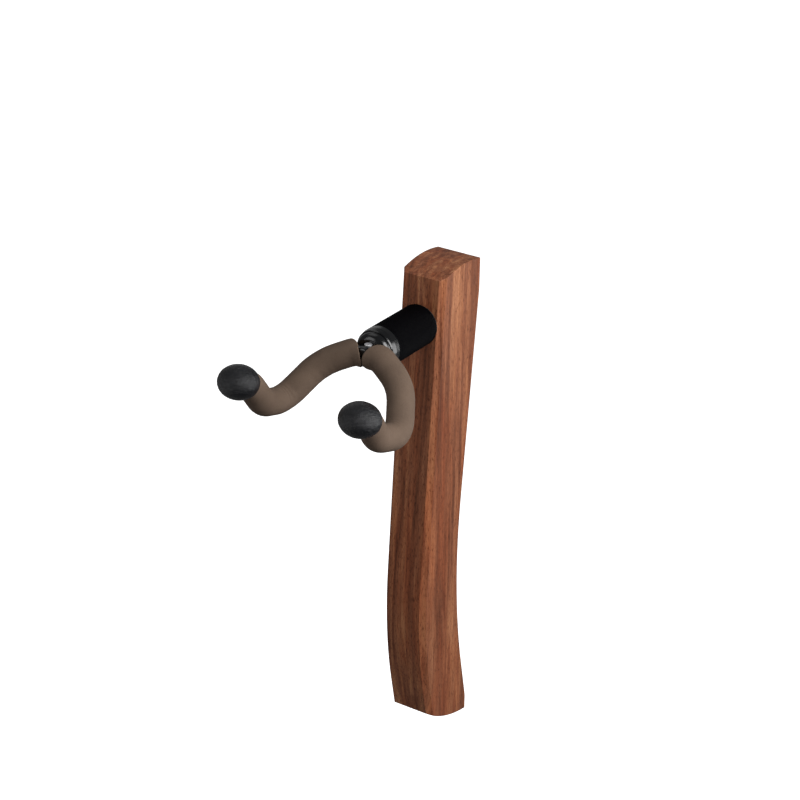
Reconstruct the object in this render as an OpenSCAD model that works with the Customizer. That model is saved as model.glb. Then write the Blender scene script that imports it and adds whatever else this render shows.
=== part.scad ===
// Wall guitar hanger: a curved hardwood back board with a swivelling two-armed yoke on a short boom.
// Millimetres. The wall is the plane y = 0 and the object stands out from it towards -Y, +Z is up.
// The origin is where the wall screw carries the board, at the top of the hanging plate's slot.

/* [Board] */
// Width of the board across its back
board_w = 36; // [32:1:44]
// Height of the board's back edge above the hanging point
board_rise = 8; // [7:0.5:14]
// Drop from the hanging point to the foot of the board
board_drop = 400; // [360:1:430]
// Depth of the board at its top, from the wall to the front face
top_depth = 54; // [50:0.5:60]
// Depth at which the upper front face and the toe would meet
belly_depth = 76.8; // [70:0.1:86]
// Drop to that meeting line
belly_drop = 293; // [270:1:310]
// Radius that rounds the belly
belly_r = 362; // [200:1:420]
// Depth of the front edge of the foot
toe_depth = 60.6; // [58:0.1:66]
// Height of that front edge above the foot
toe_rise = 29; // [20:1:36]
// Greatest gap between the back and the wall before it is rounded
bow_depth = 28; // [16:0.5:34]
// Drop to the deepest point of the bow
bow_drop = 270; // [240:1:290]
// Radius that rounds the bow
bow_r = 497; // [300:1:600]
// Height of the flat land at the top of the back
land_h = 25; // [24:1:34]
// How far the arched top and foot bulge past a straight cut
arch_rise = 3.6; // [2:0.2:6]
// Width of the bevel seen from the front
bevel_w = 3.3; // [2:0.1:5]
// Depth of the bevel seen from the side
bevel_d = 5.3; // [3:0.1:7]

/* [Boom] */
// Drop from the hanging point to the boom's axis at the front face
boom_drop = 28; // [26:0.5:40]
// Outside diameter of the boom
boom_d = 31.75; // [28:0.25:36]
// Length of the boom from the front face to the collar's front edge
boom_len = 60.9; // [56:0.1:80]
// Length of the polished collar
collar_len = 8.4; // [6:0.2:10]
// Diameter of the turning head's stem
stem_d = 12; // [10:0.5:13]

/* [Yoke] */
// Diameter of the bent steel rod
rod_d = 9.5; // [8:0.1:10]
// Outside diameter of the foam sleeves
foam_d = 19.8; // [17:0.1:20]
// Distance of each arm's tip from the boom's axis, sideways
yoke_half = 49; // [47:0.1:53]
// Depth of the cradle below the boom's axis
cradle_drop = 34; // [28:0.5:40]
// Reach of the tips in front of the boom's face on the board
tip_reach = 156.9; // [150:0.1:164]
// Height of the tips against the boom's axis
tip_rise = -3.2; // [-6:0.1:2]
// Width of the rubber end caps
cap_w = 31; // [27:0.2:33]
// Thickness of the rubber end caps
cap_t = 24.8; // [22.6:0.2:27]

/* [Hidden] */
$fn = 96;

eps = 0.01;
big = 500;

// Side profile of the board: corners as [y, z], with the radius that rounds each one.
foot_gap = 2.8;
foot_land = 13;
board_corners = [[-top_depth, board_rise + 1.2], [-belly_depth, -belly_drop],
                 [-toe_depth, toe_rise - board_drop], [-foot_gap, -board_drop],
                 [-foot_gap, foot_land - board_drop], [-bow_depth, -bow_drop],
                 [0, board_rise - land_h], [0, board_rise]];
board_radii = [0, belly_r, 0, 0, 20, bow_r, 60, 0];
front_slope = (belly_depth - top_depth) / (belly_drop + board_rise + 1.2);
toe_slope = (belly_depth - toe_depth) / (board_drop - toe_rise - belly_drop);

// The boom stands square to the upper front face.
boom_tilt = atan(front_slope);
boom_y = -top_depth - front_slope * (boom_drop + board_rise + 1.2);

// Hanging plate, let into the back.
plate_w = 18;
plate_top = 6;
plate_h = 26;
plate_t = 2;
slot_w = 4.6;
keyhole_d = 8.5;
keyhole_drop = 10.5;
plate_screw_z = [3, -17.4];
screw_d = 2.9;
screw_len = 12;
screw_head_d = 4.6;
screw_head_h = 1.5;

// Push-in wall bumpers at the foot.
bumper_x = 9;
bumper_z = -board_drop + 6.5;
bumper_d = 10;
bumper_stem_d = 4;
bumper_stem = 7;

// Fastening of the boom through the board. Lengths run along the boom from the front face.
gasket_t = 0.8;
foot_t = 12;
bolt_d = 8;
wood_left = 20;
bolt_head_d = 13;
bolt_head_h = 8;
washer_t = 1.6;
washer_d = 16;
pin_d = 3;
pin_off = 13.4;
body_bore = 22;

// Turning head and what holds it: the gap to the collar, the bush in the body's web, the nut.
head_gap = 0.35;
body_end = boom_len - collar_len;
web_front = body_end - 1.5;
web_t = 10;
bush_t = 1.5;
bush_d = 15;
thrust_t = 1;
spring_t = 1.8;
nut_t = 8;
fit = 0.05;
head_s = boom_len + head_gap;
head_r = 14.2;
hub_r = 12.6;
rim_r = 5.4;
nose_r = 7.6;
nose_end = head_s + 15.2;
rivet_d = 4;
rivet_head_d = 5.6;
rivet_top = 8.4;

// Centre line of one yoke arm as [x, height, distance along the boom], and its bend radii.
rod_s = boom_len + 8.7;
yoke_path = [[0, 0, rod_s], [10.5, 0, rod_s],
             [yoke_half - 15.2, -0.356 * cradle_drop, rod_s + 8.6],
             [yoke_half - 0.85, -1.065 * cradle_drop, tip_reach - 54.2],
             [yoke_half - 2.1, -0.835 * cradle_drop, tip_reach - 26.9],
             [yoke_half - 1.05, tip_rise - 6.6, tip_reach - 12.7],
             [yoke_half, tip_rise, tip_reach]];
yoke_radii = [14, 40, 19.5, 19.7, 16];
tip_dir = unit(yoke_path[6] - yoke_path[5]);
tip_past = 3;
foam_end = 6;
leg_lap = 0.5;
leg_step = 0.04;

function unit(v) = v / norm(v);
function turn(a, p, b) = 180 - acos(unit(a - p) * unit(b - p));
function leg(a, p, b, r) = r * tan(turn(a, p, b) / 2);
function centre(a, p, b, r) = p + unit(unit(a - p) + unit(b - p)) * r / cos(turn(a, p, b) / 2);

// ---- frames ----------------------------------------------------------------
// Boom frame: x stays, y is up across the boom, z runs out along it from the front face.
module on_boom(s = 0) {
    translate([0, boom_y, -boom_drop])
        rotate([90 - boom_tilt, 0, 0])
            translate([0, 0, s])
                children();
}

// Moves children so that their z axis runs from a along v.
module along(a, v) {
    u = unit(v);
    translate(a)
        rotate([0, acos(u.z), atan2(u.y, u.x)])
            children();
}

// Round bar that follows straight legs joined by bends of the given radii. The legs are a
// hair thinner than the bends and end just inside them.
module bent_bar(path, radii, d) {
    $fn = 44;
    last = len(path) - 1;
    cuts = [for (i = [0:last])
        (i == 0 || i == last) ? 0 : leg(path[i - 1], path[i], path[i + 1], radii[i - 1]) - leg_lap];
    for (i = [0:last - 1]) {
        u = unit(path[i + 1] - path[i]);
        run = norm(path[i + 1] - path[i]) - cuts[i] - cuts[i + 1];
        along(path[i] + u * cuts[i], u)
            cylinder(h = run, d = d - leg_step);
    }
    for (i = [1:last - 1])
        bend(path[i - 1], path[i], path[i + 1], radii[i - 1], d);
}

// One bend of a round bar, tangent to the legs a-p and p-b.
module bend(a, p, b, r, d) {
    c = centre(a, p, b, r);
    e = unit(p + unit(a - p) * leg(a, p, b, r) - c);
    t = unit(p - a);
    w = cross(e, t);
    translate(c)
        rotate([atan2(t.z, w.z), -asin(e.z), atan2(e.y, e.x)])
            rotate_extrude(angle = turn(a, p, b))
                translate([r, 0])
                    circle(d = d);
}

// ---- board -----------------------------------------------------------------
module board_profile() {
    n = len(board_corners);
    prev = [for (i = [0:n - 1]) board_corners[(i + n - 1) % n]];
    next = [for (i = [0:n - 1]) board_corners[(i + 1) % n]];
    tangents = [for (i = [0:n - 1]) leg(prev[i], board_corners[i], next[i], board_radii[i])];
    starts = [for (i = [0:n - 1]) board_corners[i] + unit(prev[i] - board_corners[i]) * tangents[i]];
    ends = [for (i = [0:n - 1]) board_corners[i] + unit(next[i] - board_corners[i]) * tangents[i]];
    hollow = [for (i = [0:n - 1]) cross(board_corners[i] - prev[i], next[i] - board_corners[i]) < 0];
    difference() {
        union() {
            polygon([for (i = [0:n - 1]) each (board_radii[i] > 0 ? [starts[i], ends[i]] : [board_corners[i]])]);
            for (i = [0:n - 1])
                if (board_radii[i] > 0 && !hollow[i])
                    corner_fill(prev[i], board_corners[i], next[i], board_radii[i], starts[i], ends[i]);
            arch(board_corners[7], board_corners[0]);
            arch(board_corners[2], board_corners[3]);
        }
        for (i = [0:n - 1])
            if (board_radii[i] > 0 && hollow[i])
                corner_fill(prev[i], board_corners[i], next[i], board_radii[i], starts[i], ends[i]);
    }
}

// Part of a rounding circle that lies between a corner and its chord.
module corner_fill(a, p, b, r, t1, t2) {
    intersection() {
        translate(centre(a, p, b, r))
            circle(r = r, $fn = 360);
        polygon([t1, p, t2]);
    }
}

// Shallow circular bulge standing on the chord from a to b, to the right of that direction.
module arch(a, b) {
    half = norm(b - a) / 2;
    r = (half * half + arch_rise * arch_rise) / (2 * arch_rise);
    u = unit(b - a);
    out = [u.y, -u.x];
    intersection() {
        translate((a + b) / 2 + out * (arch_rise - r))
            circle(r = r, $fn = 360);
        polygon([a, b, b + out * 2 * arch_rise, a + out * 2 * arch_rise]);
    }
}

// Section of the bevel cutter: depth behind the front face, and distance from the middle.
bevel_section = [[-0.5 * bevel_d, board_w / 2 - 1.5 * bevel_w],
                 [1.5 * bevel_d, board_w / 2 + 0.5 * bevel_w],
                 [-0.5 * bevel_d, board_w / 2 + 0.5 * bevel_w]];

// Bevel cutter that follows the front face down one side, drawn in the board's profile plane. Its
// straight runs start just inside the bend and lie a hair shallower.
module bevel_cut() {
    a = board_corners[0];
    p = board_corners[1];
    b = board_corners[2];
    cut = leg(a, p, b, belly_r);
    upper = p + unit(a - p) * cut;
    lower = p + unit(b - p) * cut;
    c = centre(a, p, b, belly_r);
    bevel_run(a + unit(a - p) * 8, upper + unit(p - a) * 1);
    bevel_run(lower + unit(p - b) * 1, b + unit(b - p) * 8);
    translate([c.x, c.y, 0])
        rotate([0, 0, atan2(upper.y - c.y, upper.x - c.x)])
            rotate_extrude(angle = turn(a, p, b), $fn = 720)
                polygon([for (q = bevel_section) [belly_r - q.x, q.y]]);
}
module bevel_run(from, to) {
    way = to - from;
    translate([from.x, from.y, 0])
        rotate([0, 0, atan2(way.y, way.x)])
            rotate([90, 0, 90])
                linear_extrude(norm(way))
                    translate([-0.03, 0])
                        polygon(bevel_section);
}

module back_board() {
    color("#5f3b2c")
    difference() {
        rotate([90, 0, 90])
            linear_extrude(board_w, center = true)
                board_profile();
        for (side = [0, 1])
            mirror([side, 0, 0])
                rotate([90, 0, 90])
                    bevel_cut();
        plate_pocket();
        for (x = [-1, 1])
            translate([x * bumper_x, 0, bumper_z])
                rotate([90, 0, 0])
                    cylinder(h = foot_gap + bumper_stem + 0.5, d = bumper_stem_d);
        on_boom(-wood_left - eps)
            cylinder(h = wood_left + 2, d = bolt_d + 0.5);
        on_boom(-wood_left - big)
            cylinder(h = big, d = washer_d + 1);
        on_boom(-6)
            translate([0, -pin_off, 0])
                cylinder(h = 8, d = pin_d);
    }
}

// Recess for the plate, its screws, and the deeper space for the wall screw's head.
module plate_pocket() {
    plate_outline(0.2, plate_t + 1, 1);
    translate([0, 1, 0])
        rotate([90, 0, 0]) {
            hull_slot(keyhole_d + 1, 8);
            for (z = plate_screw_z)
                translate([0, z, 0])
                    cylinder(h = screw_len + 2.6, d = screw_d + 0.02);
        }
}
module plate_outline(grow, depth, start) {
    r = plate_w / 2 + grow;
    translate([0, start, 0])
        rotate([90, 0, 0])
            linear_extrude(depth) {
                for (z = [plate_top - plate_w / 2, plate_top - plate_h + plate_w / 2])
                    translate([0, z])
                        circle(r = r);
                translate([-r, plate_top - plate_h + plate_w / 2])
                    square([2 * r, plate_h - plate_w]);
            }
}
// Slot of width d that runs from the hanging point down to the keyhole.
module hull_slot(d, depth) {
    for (z = [-slot_w / 2, -keyhole_drop])
        translate([0, z, 0])
            cylinder(h = depth, d = d);
    translate([-d / 2, -keyhole_drop, 0])
        cube([d, keyhole_drop - slot_w / 2, depth]);
}

module hanging_plate() {
    color("#b9bcc0")
    difference() {
        plate_outline(0, plate_t, 0);
        translate([0, 1, 0])
            rotate([90, 0, 0]) {
                hull_slot(slot_w, 5);
                translate([0, -keyhole_drop, 0])
                    cylinder(h = 5, d = keyhole_d);
                for (z = plate_screw_z)
                    translate([0, z, 0]) {
                        cylinder(h = 5, d = screw_d + 0.4);
                        cylinder(h = 1 + screw_head_h, d1 = screw_head_d + 2, d2 = screw_d);
                    }
            }
    }
}

module plate_screws() {
    color("#c9a96a")
    for (z = plate_screw_z)
        translate([0, 0, z])
            rotate([90, 0, 0])
                difference() {
                    union() {
                        cylinder(h = screw_head_h, d1 = screw_head_d, d2 = screw_d);
                        cylinder(h = screw_len, d = screw_d - 0.8);
                        for (i = [1:9])
                            translate([0, 0, screw_head_h + i])
                                cylinder(h = 0.5, d1 = screw_d, d2 = screw_d - 0.8);
                        translate([0, 0, screw_len])
                            cylinder(h = 1.5, d1 = screw_d - 0.8, d2 = 0.3);
                    }
                    for (a = [0, 90])
                        rotate([0, 0, a])
                            translate([-1.3, -0.3, -eps])
                                cube([2.6, 0.6, 0.9]);
                }
}

module wall_bumpers() {
    color("#2b2b2b")
    for (x = [-1, 1])
        translate([x * bumper_x, 0, bumper_z])
            rotate([90, 0, 0])
                rotate_extrude()
                    bumper_section();
}
module bumper_section() {
    intersection() {
        square([bumper_d / 2, foot_gap]);
        translate([0, 6])
            circle(r = 6.8);
    }
    square([bumper_d / 2 - 1.6, 1]);
    square([bumper_stem_d / 2, foot_gap + bumper_stem]);
}

// ---- boom ------------------------------------------------------------------
module boom_gasket() {
    color("#1e1e1e")
    on_boom()
        difference() {
            cylinder(h = gasket_t, d = boom_d - 1);
            translate([0, 0, -1])
                cylinder(h = gasket_t + 2, d = bolt_d + 0.6);
            translate([0, -pin_off, -1])
                cylinder(h = gasket_t + 2, d = pin_d);
        }
}

module boom_body() {
    color("#26272b")
    on_boom()
        difference() {
            union() {
                translate([0, 0, gasket_t])
                    cylinder(h = body_end - gasket_t, d = boom_d);
                cylinder(h = body_end + 3, r = 14.2);
            }
            translate([0, 0, -1])
                cylinder(h = 1 + gasket_t, d = boom_d + 1);
            translate([0, 0, -1])
                cylinder(h = web_front - web_t + 1, d = body_bore);
            cylinder(h = boom_len, d = bush_d);
            translate([0, 0, web_front])
                cylinder(h = 10, r = hub_r + 0.4);
            translate([0, -pin_off, -1])
                cylinder(h = 9, d = pin_d);
        }
}

module boom_collar() {
    r1 = hub_r + 0.4;
    r2 = boom_d / 2;
    color("#17181b")
    on_boom()
        rotate_extrude()
            difference() {
                polygon([[r1, body_end], [r2, body_end], [r2, boom_len - 4.4], [r2 - 0.6, boom_len - 0.8],
                         [r2 - 1.2, boom_len], [r1, boom_len]]);
                translate([0, body_end - 1])
                    square([14.2, 4]);
            }
}

module boom_foot() {
    color("#8d9196")
    on_boom(gasket_t)
        difference() {
            cylinder(h = foot_t, d = body_bore);
            translate([0, 0, -1])
                cylinder(h = foot_t + 2, d = bolt_d);
        }
}

module dowel_pin() {
    color("#a9adb2")
    on_boom(-5.5)
        translate([0, -pin_off, 0])
            cylinder(h = 12.5, d = pin_d);
}

module mount_bolt() {
    head_s = -wood_left - washer_t;
    color("#9aa0a6")
    on_boom()
        difference() {
            union() {
                translate([0, 0, head_s])
                    cylinder(h = gasket_t + foot_t - head_s, d = bolt_d);
                translate([0, 0, head_s - bolt_head_h])
                    cylinder(h = bolt_head_h, d = bolt_head_d);
            }
            translate([0, 0, head_s - bolt_head_h - 1])
                cylinder(h = 5, d = 6.9, $fn = 6);
        }
}

module mount_washer() {
    color("#b5b8bc")
    on_boom(-wood_left - washer_t)
        difference() {
            cylinder(h = washer_t, d = washer_d);
            translate([0, 0, -1])
                cylinder(h = washer_t + 2, d = bolt_d + 0.4);
        }
}

// ---- turning head ----------------------------------------------------------
module head_bush() {
    color("#e6e2d6")
    on_boom(web_front)
        difference() {
            union() {
                cylinder(h = bush_t, r = hub_r);
                translate([0, 0, -web_t])
                    cylinder(h = web_t + bush_t, d = bush_d);
            }
            translate([0, 0, -web_t - 1])
                cylinder(h = web_t + bush_t + 2, d = stem_d + 2 * fit);
        }
}

module head_solid() {
    rotate_extrude() {
        square_to(0, hub_r, body_end + fit, head_s + 1);
        intersection() {
            square_to(0, head_r, head_s, head_s + rim_r);
            union() {
                square_to(0, head_r - rim_r, head_s, head_s + rim_r);
                translate([head_r - rim_r, head_s])
                    circle(r = rim_r);
            }
        }
        square_to(0, nose_r, head_s, nose_end - 2.5);
        square_to(0, nose_r - 2.5, head_s, nose_end);
        translate([nose_r - 2.5, nose_end - 2.5])
            circle(r = 2.5);
    }
}
module square_to(r1, r2, s1, s2) {
    translate([r1, s1])
        square([r2 - r1, s2 - s1]);
}

module swivel_head() {
    stem_end = web_front - web_t - thrust_t - spring_t - nut_t - 2;
    color("#1b1c20")
    on_boom()
        difference() {
            union() {
                head_solid();
                translate([0, 0, stem_end])
                    cylinder(h = body_end + 1 - stem_end, d = stem_d);
            }
            translate([0, 0, rod_s])
                rotate([0, 90, 0])
                    cylinder(h = 2 * head_r, d = rod_d, center = true);
            translate([0, 0, rod_s])
                rotate([-90, 0, 0])
                    translate([0, 0, -rivet_top + 1])
                        cylinder(h = 2 * rivet_top, d = rivet_d);
            translate([0, nose_r - 0.6, rod_s])
                rotate([-90, 0, 0])
                    cylinder(h = 4, d = rivet_head_d + 0.3);
        }
}

module thrust_washer() {
    color("#c3c6ca")
    on_boom(web_front - web_t - fit - thrust_t)
        difference() {
            cylinder(h = thrust_t, d = 20);
            translate([0, 0, -1])
                cylinder(h = thrust_t + 2, d = stem_d + 0.2);
        }
}

module wave_washer() {
    r1 = stem_d / 2 + 0.2;
    color("#8a7f66")
    on_boom(web_front - web_t - fit - thrust_t - spring_t)
        rotate_extrude()
            polygon([[r1, 0], [9.4, spring_t - 0.8], [9.4, spring_t], [r1, 0.8]]);
}

module lock_nut() {
    color("#b3b6ba")
    on_boom(web_front - web_t - fit - thrust_t - spring_t - nut_t)
        difference() {
            intersection() {
                cylinder(h = nut_t, d = 20.4, $fn = 6);
                cylinder(h = nut_t, d1 = 22.5, d2 = 19.6);
            }
            translate([0, 0, -1])
                cylinder(h = nut_t + 2, d = stem_d);
        }
}

// ---- yoke ------------------------------------------------------------------
module lock_pin() {
    color("#d5d7da")
    on_boom(rod_s)
        rotate([-90, 0, 0])
            difference() {
                union() {
                    translate([0, 0, -rivet_top + 1.4])
                        cylinder(h = 2 * rivet_top - 2.4, d = rivet_d);
                    translate([0, 0, nose_r - 0.6])
                        cylinder(h = rivet_top - nose_r + 0.2, d = rivet_head_d);
                    translate([0, 0, rivet_top - 0.4])
                        cylinder(h = 0.4, d1 = rivet_head_d, d2 = rivet_head_d - 1);
                }
                translate([0, 0, rivet_top - 2.5])
                    cylinder(h = 3, d = 1.9);
            }
}

module yoke_rod() {
    arm = concat([[3, 0, rod_s]], [for (i = [1:5]) yoke_path[i]], [yoke_path[6] + tip_dir * tip_past]);
    color("#6e7176")
    on_boom()
        difference() {
            union() {
                translate([0, 0, rod_s])
                    rotate([0, 90, 0])
                        cylinder(h = 7, d = rod_d, center = true);
                for (side = [0, 1])
                    mirror([side, 0, 0])
                        bent_bar(arm, yoke_radii, rod_d);
            }
            translate([0, 0, rod_s])
                rotate([90, 0, 0])
                    cylinder(h = 20, d = rivet_d, center = true);
        }
}

// Foam tube on one arm, cut on a slant where it meets its neighbour in front of the head, and
// relieved round the head, the pin and the collar. It is drawn on the +X side.
module foam_arm(meet, lean_n, lean_s) {
    path = concat([[-1.5, 0, rod_s]], [for (i = [1:5]) yoke_path[i]],
                  [yoke_path[6] - tip_dir * foam_end]);
    difference() {
        bent_bar(path, yoke_radii, foam_d);
        bent_bar(concat([[-3, 0, rod_s]], [for (i = [1:6]) yoke_path[i]]), yoke_radii, rod_d);
        along([meet, 0, rod_s], [-1, lean_n, lean_s])
            cylinder(h = 3 * foam_d, r = 3 * foam_d);
        head_solid();
        translate([0, 0, rod_s])
            rotate([-90, 0, 0])
                cylinder(h = foam_d, d = rivet_head_d + 0.6);
        translate([0, 0, boom_len - 20])
            cylinder(h = 20 + head_gap, d = boom_d + 2);
    }
}
module foam_left() {
    color("#7d6a59")
    on_boom()
        mirror([1, 0, 0])
            foam_arm(7.1, 0.26, -0.72);
}
module foam_right() {
    color("#7d6a59")
    on_boom()
        foam_arm(5.9, 0.08, -0.56);
}

// Rubber cap on one arm's tip, wider across than it is thick. It is drawn on the +X side.
module cap_arm() {
    spread = cap_w - cap_t;
    tip = yoke_path[6];
    difference() {
        translate(tip) {
            for (x = [-0.5, 0.5])
                translate([x * spread, 0, 0])
                    sphere(d = cap_t);
            rotate([0, 90, 0])
                cylinder(h = spread, d = cap_t, center = true);
        }
        bent_bar([yoke_path[4], yoke_path[5], tip + tip_dir * tip_past], [yoke_radii[4]], rod_d);
        bent_bar([yoke_path[4], yoke_path[5], tip - tip_dir * foam_end], [yoke_radii[4]], foam_d);
    }
}
module cap_left() {
    color("#2c2d30")
    on_boom()
        mirror([1, 0, 0])
            cap_arm();
}
module cap_right() {
    color("#2c2d30")
    on_boom()
        cap_arm();
}

back_board();
hanging_plate();
plate_screws();
wall_bumpers();
boom_gasket();
boom_body();
boom_collar();
boom_foot();
dowel_pin();
mount_bolt();
mount_washer();
head_bush();
swivel_head();
thrust_washer();
wave_washer();
lock_nut();
lock_pin();
yoke_rod();
foam_left();
foam_right();
cap_left();
cap_right();
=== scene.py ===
"""Looks of the wall guitar hanger: walnut board, knurled boom, foam-sleeved yoke with rubber caps."""

import math

import bpy
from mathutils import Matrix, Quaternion, Vector, noise


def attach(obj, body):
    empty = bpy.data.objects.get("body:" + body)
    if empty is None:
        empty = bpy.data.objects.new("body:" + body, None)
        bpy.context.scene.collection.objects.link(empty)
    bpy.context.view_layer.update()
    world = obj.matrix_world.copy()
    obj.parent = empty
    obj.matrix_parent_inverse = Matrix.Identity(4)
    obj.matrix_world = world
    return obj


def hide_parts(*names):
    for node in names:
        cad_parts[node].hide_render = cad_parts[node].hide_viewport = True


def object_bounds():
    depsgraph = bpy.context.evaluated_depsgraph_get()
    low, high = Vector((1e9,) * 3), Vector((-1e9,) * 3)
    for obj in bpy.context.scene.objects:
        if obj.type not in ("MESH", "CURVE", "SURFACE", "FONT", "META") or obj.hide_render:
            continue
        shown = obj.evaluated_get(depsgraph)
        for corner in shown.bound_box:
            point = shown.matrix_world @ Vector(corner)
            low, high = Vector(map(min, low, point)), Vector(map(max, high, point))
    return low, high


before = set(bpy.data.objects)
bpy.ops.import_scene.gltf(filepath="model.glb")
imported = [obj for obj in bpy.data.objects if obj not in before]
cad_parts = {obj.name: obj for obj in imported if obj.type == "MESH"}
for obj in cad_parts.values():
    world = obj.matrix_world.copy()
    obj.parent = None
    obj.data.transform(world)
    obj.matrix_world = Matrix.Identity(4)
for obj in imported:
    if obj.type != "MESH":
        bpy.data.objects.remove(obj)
cad_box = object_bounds()

MM = 0.001

# ---------------------------------------------------------------- sizes, as in the CAD, in millimetres
TOP_DEPTH, BELLY_DEPTH = 54, 76.8                 # of the board, from the wall to its front
FRONT_TOP, BELLY_DROP, BOOM_DROP = 8 + 1.2, 293, 28     # heights from the hanging point
BOOM_TILT = math.atan((BELLY_DEPTH - TOP_DEPTH) / (BELLY_DROP + FRONT_TOP))
BOOM_ROOT = Vector((0, -TOP_DEPTH - math.tan(BOOM_TILT) * (BOOM_DROP + FRONT_TOP), -BOOM_DROP)) * MM
OUT = Vector((0, -math.cos(BOOM_TILT), math.sin(BOOM_TILT)))      # along the boom
RISE = Vector((0, math.sin(BOOM_TILT), math.cos(BOOM_TILT)))      # up, square to the boom
BOOM_R = 15.875 * MM
GASKET = 0.8 * MM
BODY_END = 52.5 * MM
ROD_S = 69.6
ROD_R = 4.75 * MM
FOAM_R = 9.9 * MM
CAP_MIDDLE = (49.0, -3.2, 156.9)                  # across, up and out along the boom
# The arm's corners, given the same way, and the radii of the bends at all but the first and last.
ARM_PATH = [(-2, 0, ROD_S), (10.5, 0, ROD_S), (33.8, -12.1, ROD_S + 8.6), (48.15, -36.2, 102.7),
            (46.9, -28.4, 130.0), (47.95, -9.8, 144.2), CAP_MIDDLE]
ARM_BENDS = [14, 40, 19.5, 19.7, 16]
FOAM_CUT = {"left": (7.1, 0.26, -0.72), "right": (5.9, 0.08, -0.56)}    # meeting point and slant
FOAM_END = 5 * MM                                 # short of the cap's middle
CAP_HALF = (15.5, 13.47, 11.46)                   # across, thick, along its axis
CAP_TILT = 1.2                                    # radians that its axis rises from the boom's
CAMERA_PLACE = Vector((697.96, -1234.47, 654.52)) * MM
ARC_STEPS = 12                                    # points along one round bend


def boom_point(x, up, out):
    """A point given across, up and out along the boom, in metres."""
    return BOOM_ROOT + Vector((x, 0, 0)) + RISE * up + OUT * out


def bent_path(corners, radii, step):
    """Points along straight legs joined by round bends, about step apart."""
    points = [corners[0]]
    for before, corner, after, radius in zip(corners, corners[1:], corners[2:], radii):
        a, b = (before - corner).normalized(), (after - corner).normalized()
        turn = math.pi - a.angle(b)
        leg = radius * math.tan(turn / 2)
        centre = corner + (a + b).normalized() * radius / math.cos(turn / 2)
        start, end = corner + a * leg - centre, corner + b * leg - centre
        for i in range(ARC_STEPS + 1):
            t = i / ARC_STEPS
            spoke = start * math.sin(turn * (1 - t)) + end * math.sin(turn * t)
            points.append(centre + spoke / math.sin(turn))
    points.append(corners[-1])
    spaced, carry = [points[0]], 0.0
    for p, q in zip(points, points[1:]):
        gap = (q - p).length
        at = step - carry
        while at < gap:
            spaced.append(p.lerp(q, at / gap))
            at += step
        carry = gap - (at - step)
    if (spaced[-1] - points[-1]).length < step * 0.4:
        spaced.pop()
    return spaced + [points[-1]]


def arm_corners(side):
    sign = 1 if side == "right" else -1
    return [boom_point(sign * x * MM, up * MM, out * MM) for x, up, out in ARM_PATH]


# ---------------------------------------------------------------- mesh helpers
def mesh_piece(name, verts, faces, smooth=True):
    mesh = bpy.data.meshes.new(name)
    mesh.from_pydata([tuple(v) for v in verts], [], faces)
    mesh.validate()
    for p in mesh.polygons:
        p.use_smooth = smooth
    piece = bpy.data.objects.new(name, mesh)
    bpy.context.scene.collection.objects.link(piece)
    return piece


def grid_faces(rings, around):
    """Four-sided faces between rings of points, each ring closed on itself."""
    faces = []
    for i in range(rings - 1):
        for j in range(around):
            a, b = i * around + j, i * around + (j + 1) % around
            faces.append((a, b, b + around, a + around))
    return faces


def carried_frames(points):
    """One (tangent, side, up) triple for each point, turned as little as possible along the path."""
    tangents = []
    for i, p in enumerate(points):
        a, b = points[max(i - 1, 0)], points[min(i + 1, len(points) - 1)]
        tangents.append((b - a).normalized())
    side = tangents[0].orthogonal().normalized()
    frames = []
    for i, t in enumerate(tangents):
        if i:
            side = tangents[i - 1].rotation_difference(t) @ side
        side = (side - t * side.dot(t)).normalized()
        frames.append((t, side, t.cross(side)))
    return frames


def revolve(name, outline, around, wobble):
    """Turns (radius, distance along the boom) pairs about the boom's axis; wobble shifts each radius."""
    verts = []
    for i, (r, out) in enumerate(outline):
        for j in range(around):
            a = 2 * math.pi * j / around
            radius = r + wobble(i, j)
            verts.append(boom_point(radius * math.cos(a), radius * math.sin(a), out))
    return mesh_piece(name, verts, grid_faces(len(outline), around))


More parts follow.
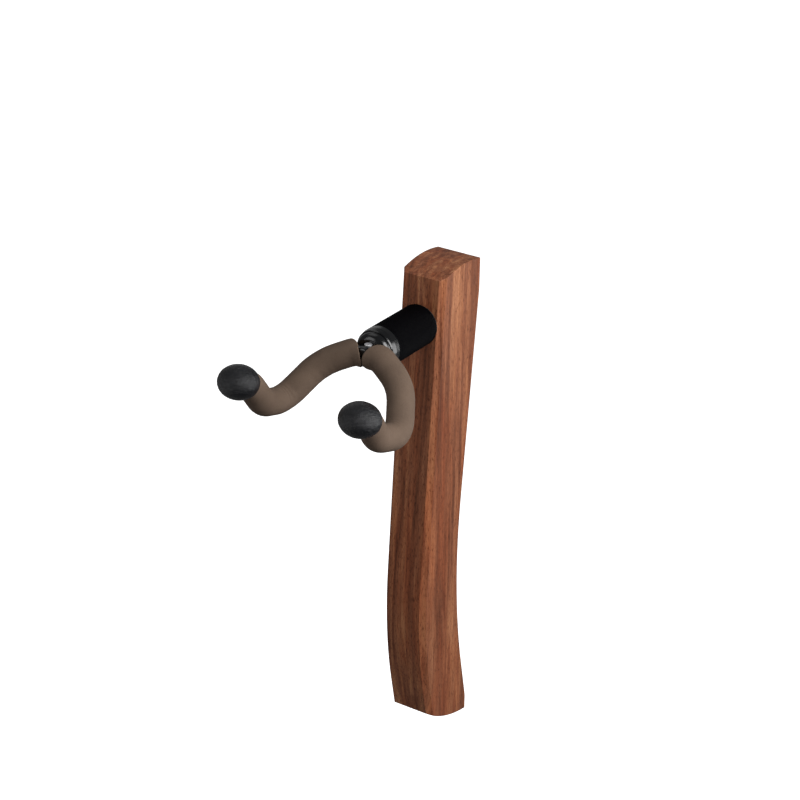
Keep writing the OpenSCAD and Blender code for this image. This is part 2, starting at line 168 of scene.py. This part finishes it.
# ---------------------------------------------------------------- pieces
def foam_sleeve(side):
    """Foam tube on one arm: a slanted cut with an eased lip at the head, soft creases inside the bends."""
    corners = arm_corners(side)
    corners[-1] = corners[-1] - (corners[-1] - corners[-2]).normalized() * FOAM_END
    step = 0.8 * MM
    points = bent_path(corners, [r * MM for r in ARM_BENDS], step)
    frames = carried_frames(points)
    meet, lean_up, lean_out = FOAM_CUT[side]
    around, ease, spread = 80, 0.9 * MM, 34 * MM       # spread: how far along the slant fades out
    face_steps, ease_steps = 5, 6
    outline = [(0, ROD_R + (FOAM_R - ease - ROD_R) * k / face_steps, 0) for k in range(face_steps)]
    for k in range(ease_steps + 1):
        a = math.pi / 2 * k / ease_steps
        outline.append((0, FOAM_R - ease + ease * math.sin(a), ease * (1 - math.cos(a))))
    outline += [(i * step, FOAM_R, 0) for i in range(2, len(points))]
    outline.append(((len(points) - 1) * step, ROD_R, 0))
    verts = []
    for run, r, shift in outline:
        for j in range(around):
            a = 2 * math.pi * j / around
            u0, v0 = frames[0][1:]
            d0 = u0 * math.cos(a) + v0 * math.sin(a)
            lip = meet * MM + (lean_up * d0.dot(RISE) + lean_out * d0.dot(OUT)) * r + 2 * MM
            at = max(run + shift + lip * max(0, 1 - run / spread), 0) / step
            i = min(int(at), len(points) - 2)
            f = min(at - i, 1)
            u, v = (frames[i][k].lerp(frames[i + 1][k], f).normalized() for k in (1, 2))
            d = u * math.cos(a) + v * math.sin(a)
            bend = frames[min(i + 4, len(frames) - 1)][0] - frames[max(i - 4, 0)][0]
            curved = min(bend.length / 0.35, 1.0)
            inside = max(d.dot(bend.normalized()), 0) ** 2 * curved if bend.length > 1e-6 else 0
            p = points[i].lerp(points[i + 1], f) + d * r
            crease = 0.09 * MM * inside * math.sin(at * 0.8 + 1.5 * math.sin(at * 0.19))
            lump = 0.12 * MM * noise.noise(p * 90) + 0.05 * MM * noise.noise(p * 320)
            full = (r - ROD_R) / (FOAM_R - ROD_R)
            verts.append(p + d * (crease + 0.15 * MM * inside + lump) * full)
    return mesh_piece("foam_sleeve_" + side, verts, grid_faces(len(outline), around))


def rubber_cap(side):
    """Oval moulded cap, wider across than thick, with a slightly uneven skin. It covers the foam's end."""
    sign = 1 if side == "right" else -1
    x, up, out = CAP_MIDDLE
    middle = boom_point(sign * x * MM, up * MM, out * MM)
    axis = OUT * math.cos(CAP_TILT) + RISE * math.sin(CAP_TILT)
    across = Vector((1, 0, 0))
    thick = axis.cross(across)
    half_w, half_t, half_l = (v * MM for v in CAP_HALF)
    around, steps = 150, 110
    outline = []
    for k in range(steps + 1):
        a = math.pi * (k / steps - 0.5)
        outline.append((max(math.cos(a), 0.0004), math.sin(a)))
    verts = []
    for i, (f, h) in enumerate(outline):
        for j in range(around):
            a = 2 * math.pi * j / around
            sideways = across * (half_w * f * math.cos(a))
            p = middle + axis * (h * half_l) + sideways + thick * (half_t * f * math.sin(a))
            d = (p - middle).normalized()
            grain = 0.10 * noise.noise(p * 520) + 0.07 * noise.noise(p * 1100) + 0.12 * noise.noise(p * 120)
            verts.append(p + d * grain * MM)
    return mesh_piece("rubber_cap_" + side, verts, grid_faces(len(outline), around))


def boom_sleeve():
    """Outside of the boom: a plain band at each end and fine straight knurling between."""
    teeth, depth = 132, 0.28 * MM
    tooth = (0.5, 0.0, 0.5, 1.0)                      # share of the depth at points round one tooth
    chamfer, band, run_out = 0.45 * MM, 1.6 * MM, 0.3 * MM
    end_r = 2 * MM                                    # where the two end faces stop
    inner = GASKET + band + run_out
    outer = BODY_END - band - run_out
    stretches = 10
    rear = [(end_r, GASKET), (BOOM_R - chamfer, GASKET), (BOOM_R, GASKET + chamfer), (BOOM_R, GASKET + band)]
    ribbed = [(BOOM_R, inner + (outer - inner) * k / stretches) for k in range(stretches + 1)]
    front = [(BOOM_R, BODY_END - band), (BOOM_R, BODY_END - chamfer), (BOOM_R - chamfer, BODY_END),
             (end_r, BODY_END)]

    def knurl(i, j):
        if not len(rear) <= i < len(rear) + len(ribbed):
            return 0
        return -depth * tooth[j % len(tooth)]
    return revolve("boom_sleeve", rear + ribbed + front, teeth * len(tooth), knurl)


# ---------------------------------------------------------------- materials
class Nodes:
    """A short way to write a material's node tree."""
    def __init__(self, name):
        self.mat = bpy.data.materials.new(name)
        self.mat.use_nodes = True
        self.tree = self.mat.node_tree
        self.shader = self.tree.nodes["Principled BSDF"]
        self.coords = self.add("ShaderNodeTexCoord").outputs["Object"]

    def add(self, kind, inputs=None, **settings):
        node = self.tree.nodes.new(kind)
        for key, value in settings.items():
            setattr(node, key, value)
        for key, value in (inputs or {}).items():
            self.feed(node.inputs[key], value)
        return node

    def feed(self, socket, value):
        if isinstance(value, bpy.types.NodeSocket):
            self.tree.links.new(value, socket)
        else:
            socket.default_value = value

    def noise(self, vector, scale, detail=4.0, rough=0.5, distortion=0.0):
        inputs = {"Vector": vector, "Scale": scale, "Detail": detail, "Roughness": rough,
                  "Distortion": distortion}
        return self.add("ShaderNodeTexNoise", inputs).outputs["Fac"]

    def stretch(self, vector, scale):
        return self.add("ShaderNodeMapping", {"Vector": vector, "Scale": scale}).outputs["Vector"]

    def drift(self, vector, scale, amount):
        """The same coordinates, wandering a little from place to place."""
        slow = self.stretch(vector, scale)
        away = self.add("ShaderNodeTexNoise", {"Vector": slow, "Scale": 1.0, "Detail": 2.0})
        centred = self.add("ShaderNodeVectorMath", {0: away.outputs["Color"], 1: (0.5, 0.5, 0.5)},
                           operation="SUBTRACT")
        scaled = self.add("ShaderNodeVectorMath", {0: centred.outputs[0], "Scale": amount}, operation="SCALE")
        moved = self.add("ShaderNodeVectorMath", {0: vector, 1: scaled.outputs[0]}, operation="ADD")
        return moved.outputs[0]

    def ramp(self, value, stops):
        node = self.add("ShaderNodeValToRGB", {"Fac": value})
        ramp = node.color_ramp
        while len(ramp.elements) > 1:
            ramp.elements.remove(ramp.elements[-1])
        ramp.elements[0].position = stops[0][0]
        ramp.elements[0].color = rgba(stops[0][1])
        for position, colour in stops[1:]:
            ramp.elements.new(position).color = rgba(colour)
        return node.outputs["Color"]

    def maths(self, kind, a, b=0.0, c=0.0):
        node = self.add("ShaderNodeMath", operation=kind)
        for socket, value in zip(node.inputs, (a, b, c)):
            self.feed(socket, value)
        return node.outputs[0]

    def mix(self, factor, a, b, blend="MIX"):
        node = self.add("ShaderNodeMix", data_type="RGBA", blend_type=blend)
        self.feed(node.inputs[0], factor)
        self.feed(node.inputs[6], rgba(a) if isinstance(a, (tuple, float)) else a)
        self.feed(node.inputs[7], rgba(b) if isinstance(b, (tuple, float)) else b)
        return node.outputs[2]

    def bump(self, height, strength, distance, normal=None):
        inputs = {"Height": height, "Strength": strength, "Distance": distance}
        node = self.add("ShaderNodeBump", inputs)
        if normal is not None:
            self.feed(node.inputs["Normal"], normal)
        return node.outputs["Normal"]

    def set(self, **inputs):
        for key, value in inputs.items():
            key = key.replace("_", " ")
            self.feed(self.shader.inputs[key], rgba(value) if isinstance(value, tuple) else value)
        return self.mat


def rgba(colour):
    """A grey given as one number, or a colour given as three, as a socket takes it."""
    if isinstance(colour, float):
        return (colour, colour, colour, 1.0)
    return tuple(colour) + (1.0,)


def srgb(r, g, b):
    """A colour given as 0 to 255 in sRGB, as linear values."""
    return tuple(((c / 255 + 0.055) / 1.055) ** 2.4 if c > 10 else c / 255 / 12.92 for c in (r, g, b))


def walnut():
    n = Nodes("walnut_oiled")
    xyz = n.drift(n.coords, (16, 16, 9), 5 * MM)
    wander = n.noise(n.stretch(xyz, (22, 22, 4.5)), 1.0, 3.0, 0.55, 0.4)
    bands = n.noise(n.stretch(xyz, (210, 105, 5.5)), 1.0, 4.0, 0.56, 0.8)
    fine = n.noise(n.stretch(xyz, (800, 560, 34)), 1.0, 3.0, 0.55)
    pores = n.noise(n.stretch(xyz, (1500, 1300, 240)), 1.0, 3.0, 0.6)
    red = n.noise(n.stretch(xyz, (130, 60, 7.0)), 1.0, 4.0, 0.6, 0.6)
    tone = n.maths("ADD", n.maths("MULTIPLY", bands, 0.7), n.maths("MULTIPLY", wander, 0.3))
    colour = n.ramp(tone, [(0.35, srgb(88, 49, 31)), (0.44, srgb(117, 69, 46)), (0.51, srgb(134, 82, 56)),
                           (0.58, srgb(149, 96, 66)), (0.66, srgb(172, 117, 82))])
    warm = n.ramp(red, [(0.36, (1.0, 0.84, 0.76)), (0.50, (1.0, 1.0, 1.0)), (0.66, (1.0, 1.06, 1.14))])
    colour = n.mix(1.0, colour, warm, "MULTIPLY")
    streak = n.ramp(fine, [(0.36, (0.82, 0.76, 0.70)), (0.60, (1.02, 1.0, 0.98))])
    colour = n.mix(1.0, colour, streak, "MULTIPLY")
    pore = n.ramp(pores, [(0.36, (0.50, 0.40, 0.34)), (0.45, (1.0, 1.0, 1.0)), (0.58, (1.0, 1.0, 1.0)),
                          (0.68, (1.22, 1.20, 1.16))])
    colour = n.mix(1.0, colour, pore, "MULTIPLY")
    rough = n.ramp(fine, [(0.3, 0.50), (0.7, 0.38)])
    height = n.maths("ADD", n.maths("MULTIPLY", n.ramp(pores, [(0.33, 0.0), (0.43, 1.0)]), 0.7),
                     n.maths("MULTIPLY", fine, 0.3))
    edge = n.add("ShaderNodeBevel", {"Radius": 0.6 * MM}, samples=6).outputs["Normal"]
    normal = n.bump(height, 0.30, 0.12 * MM, edge)
    return n.set(Base_Color=colour, Roughness=rough, Normal=normal, Specular_IOR_Level=0.22)


def foam():
    n = Nodes("foam_closed_cell")
    cells = n.noise(n.coords, 1500, 3.0, 0.6)
    soft = n.noise(n.coords, 60, 3.0, 0.5)
    colour = n.ramp(soft, [(0.3, srgb(95, 79, 67)), (0.7, srgb(104, 87, 74))])
    speck = n.ramp(cells, [(0.30, (0.86, 0.85, 0.84)), (0.60, (1.0, 1.0, 1.0))])
    colour = n.mix(1.0, colour, speck, "MULTIPLY")
    normal = n.bump(cells, 0.40, 0.10 * MM)
    return n.set(Base_Color=colour, Roughness=0.82, Normal=normal, Specular_IOR_Level=0.2)


def cap_rubber():
    n = Nodes("cap_rubber_textured")
    pebble = n.noise(n.coords, 860, 5.0, 0.66, 0.1)
    worn = n.noise(n.coords, 300, 4.0, 0.6)
    colour = n.ramp(worn, [(0.3, srgb(4, 5, 8)), (0.7, srgb(11, 12, 18))])
    rough = n.ramp(worn, [(0.30, 0.27), (0.70, 0.15)])
    normal = n.bump(pebble, 1.0, 0.80 * MM)
    return n.set(Base_Color=colour, Roughness=rough, Normal=normal, Specular_IOR_Level=0.45)


def black_sleeve():
    n = Nodes("boom_black_matte")
    grain = n.noise(n.coords, 1400, 3.0, 0.6)
    colour = n.ramp(grain, [(0.3, srgb(2, 2, 3)), (0.7, srgb(4, 4, 6))])
    rough = n.ramp(grain, [(0.3, 0.58), (0.7, 0.46)])
    return n.set(Base_Color=colour, Roughness=rough, Normal=n.bump(grain, 0.25, 0.05 * MM),
                 Specular_IOR_Level=0.025)


def black_gloss():
    n = Nodes("collar_black_gloss")
    haze = n.noise(n.coords, 240, 4.0, 0.6)
    turned = n.noise(n.stretch(n.coords, (60, 5200, 60)), 1.0, 2.0)
    rough = n.ramp(haze, [(0.3, 0.17), (0.7, 0.25)])
    colour = n.ramp(haze, [(0.3, srgb(3, 3, 4)), (0.7, srgb(6, 7, 10))])
    return n.set(Base_Color=colour, Roughness=rough, Normal=n.bump(turned, 0.06, 0.02 * MM),
                 Specular_IOR_Level=0.62)


def metal(name, light, dark, rough=(0.25, 0.4), scale=(900, 900, 900), grain=0.15):
    """Bare metal between two sRGB colours. scale stretches the brushing, grain is its depth."""
    n = Nodes(name)
    brush = n.noise(n.stretch(n.coords, scale), 1.0, 3.0, 0.6)
    spot = n.noise(n.coords, 160, 3.0, 0.5)
    colour = n.ramp(spot, [(0.3, srgb(*dark)), (0.7, srgb(*light))])
    roughness = n.ramp(brush, [(0.3, rough[0]), (0.7, rough[1])])
    return n.set(Base_Color=colour, Roughness=roughness, Metallic=1.0, Normal=n.bump(brush, grain, 0.03 * MM))


def rubber(name, tone):
    n = Nodes(name)
    grain = n.noise(n.coords, 900, 4.0, 0.6)
    colour = n.ramp(grain, [(0.3, srgb(tone, tone, tone + 2)), (0.7, srgb(tone + 12, tone + 12, tone + 13))])
    return n.set(Base_Color=colour, Roughness=0.7, Normal=n.bump(grain, 0.3, 0.06 * MM))


def nylon():
    n = Nodes("bush_nylon")
    grain = n.noise(n.coords, 600, 3.0, 0.5)
    colour = n.ramp(grain, [(0.3, srgb(222, 216, 200)), (0.7, srgb(236, 231, 218))])
    return n.set(Base_Color=colour, Roughness=0.42, Normal=n.bump(grain, 0.1, 0.03 * MM),
                 Subsurface_Weight=0.05)


def dress(piece, material):
    piece.data.materials.clear()
    piece.data.materials.append(material)


# ---------------------------------------------------------------- assembly
board_parts = {
    "back_board": walnut(),
    "hanging_plate": metal("zinc_plate", (196, 198, 200), (160, 162, 166), (0.3, 0.45), (300, 300, 2600)),
    "plate_screws": metal("screw_brass", (214, 178, 110), (180, 142, 80), (0.22, 0.35)),
    "wall_bumpers": rubber("bumper_rubber", 30),
    "boom_gasket": rubber("gasket_rubber", 20),
    "boom_collar": black_gloss(),
    "boom_foot": metal("foot_aluminium", (206, 208, 211), (178, 180, 184)),
    "dowel_pin": metal("dowel_steel", (170, 172, 176), (140, 142, 147)),
    "mount_bolt": metal("bolt_zinc", (178, 182, 186), (142, 146, 152)),
    "mount_washer": metal("washer_zinc", (188, 190, 194), (150, 153, 158)),
    "head_bush": nylon(),
}
yoke_parts = {
    "swivel_head": board_parts["boom_collar"],
    "thrust_washer": board_parts["mount_washer"],
    "wave_washer": metal("spring_dark", (112, 106, 92), (78, 72, 60)),
    "lock_nut": board_parts["mount_bolt"],
    "lock_pin": metal("rivet_nickel", (246, 246, 247), (232, 232, 235), (0.42, 0.52),
                      (500, 500, 500), 0.03),
    "yoke_rod": metal("rod_steel", (110, 112, 116), (84, 86, 90), (0.3, 0.42)),
}
for name, material in {**board_parts, **yoke_parts}.items():
    dress(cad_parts[name], material)

sleeve = boom_sleeve()
dress(sleeve, black_sleeve())
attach(sleeve, "board")
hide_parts("boom_body")

foam_look, cap_look = foam(), cap_rubber()
for side in ("left", "right"):
    piece = foam_sleeve(side)
    dress(piece, foam_look)
    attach(piece, "yoke")
    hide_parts("foam_" + side)
    cap = rubber_cap(side)
    dress(cap, cap_look)
    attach(cap, "yoke")
    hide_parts("cap_" + side)

# ---------------------------------------------------------------- stage, lights, camera
def backdrop():
    """White floor below the hanging object. The camera sees it, but it lights nothing and isn't reflected."""
    half = 6.0
    level = cad_box[0][2] - 0.55
    verts = [(-half, -half, level), (half, -half, level), (half, half, level), (-half, half, level)]
    floor = mesh_piece("floor", verts, [(0, 1, 2, 3)], smooth=False)
    n = Nodes("floor_pale")
    tone = n.noise(n.coords, 2.0, 2.0)
    n.set(Base_Color=n.ramp(tone, [(0.3, 0.93), (0.7, 0.95)]), Roughness=0.9,
          Emission_Color=(1.0, 1.0, 1.0), Emission_Strength=1.1)
    dress(floor, n.mat)
    floor.visible_diffuse = False
    floor.visible_glossy = False


def softbox(name, place, aim, size, power):
    data = bpy.data.lights.new(name, "AREA")
    data.shape = "RECTANGLE"
    data.size, data.size_y = size
    data.energy = power
    lamp = bpy.data.objects.new(name, data)
    lamp.location = place
    lamp.rotation_euler = (Vector(aim) - Vector(place)).to_track_quat("-Z", "Y").to_euler()
    bpy.context.scene.collection.objects.link(lamp)


def light():
    """Six softboxes, two of them rims from behind, in a dim world that looks white to the camera."""
    collar = boom_point(0, 0, BODY_END)
    softbox("key_right", (0.68, -0.18, 0.38), (0.02, -0.06, -0.02), (0.55, 0.60), 8.5)
    softbox("rim_right", collar + Vector((0.84, 0.62, 0.0)), collar, (0.50, 0.76), 5.0)
    softbox("rim_left", collar + Vector((-0.66, 0.70, 0.12)), collar, (0.50, 0.90), 0.4)
    softbox("back_left", (-0.60, 0.10, 1.05), (0, -0.1, -0.05), (0.80, 0.80), 1.3)
    softbox("fill_front", (-0.62, -1.00, 0.42), (0, -0.1, -0.08), (0.60, 0.70), 2.2)
    softbox("fill_low_left", (-1.50, -0.90, -0.50), (0, -0.1, -0.05), (0.80, 0.80), 3.0)
    world = bpy.data.worlds.new("studio")
    world.use_nodes = True
    tree = world.node_tree
    seen, dim = tree.nodes["Background"], tree.nodes.new("ShaderNodeBackground")
    seen.inputs["Color"].default_value = (1, 1, 1, 1)
    seen.inputs["Strength"].default_value = 1.0
    dim.inputs["Color"].default_value = (1, 1, 1, 1)
    dim.inputs["Strength"].default_value = 0.16
    mix, rays = tree.nodes.new("ShaderNodeMixShader"), tree.nodes.new("ShaderNodeLightPath")
    tree.links.new(rays.outputs["Is Camera Ray"], mix.inputs[0])
    tree.links.new(dim.outputs[0], mix.inputs[1])
    tree.links.new(seen.outputs[0], mix.inputs[2])
    tree.links.new(mix.outputs[0], tree.nodes["World Output"].inputs["Surface"])
    bpy.context.scene.world = world
    bpy.context.scene.view_settings.view_transform = "Standard"


def camera():
    """Looks down at the front from the right, as a product picture of the yoke does."""
    azimuth, elevation, roll = math.radians(31.2), math.radians(28.57), math.radians(0.69)
    back = Vector((math.sin(azimuth) * math.cos(elevation), -math.cos(azimuth) * math.cos(elevation),
                   math.sin(elevation)))
    data = bpy.data.cameras.new("camera")
    data.sensor_width = 36
    data.lens = 94.5
    cam = bpy.data.objects.new("camera", data)
    cam.rotation_euler = (back.to_track_quat("Z", "Y") @ Quaternion((0, 0, 1), roll)).to_euler()
    cam.location = CAMERA_PLACE
    bpy.context.scene.collection.objects.link(cam)
    bpy.context.scene.camera = cam


backdrop()
light()
camera()
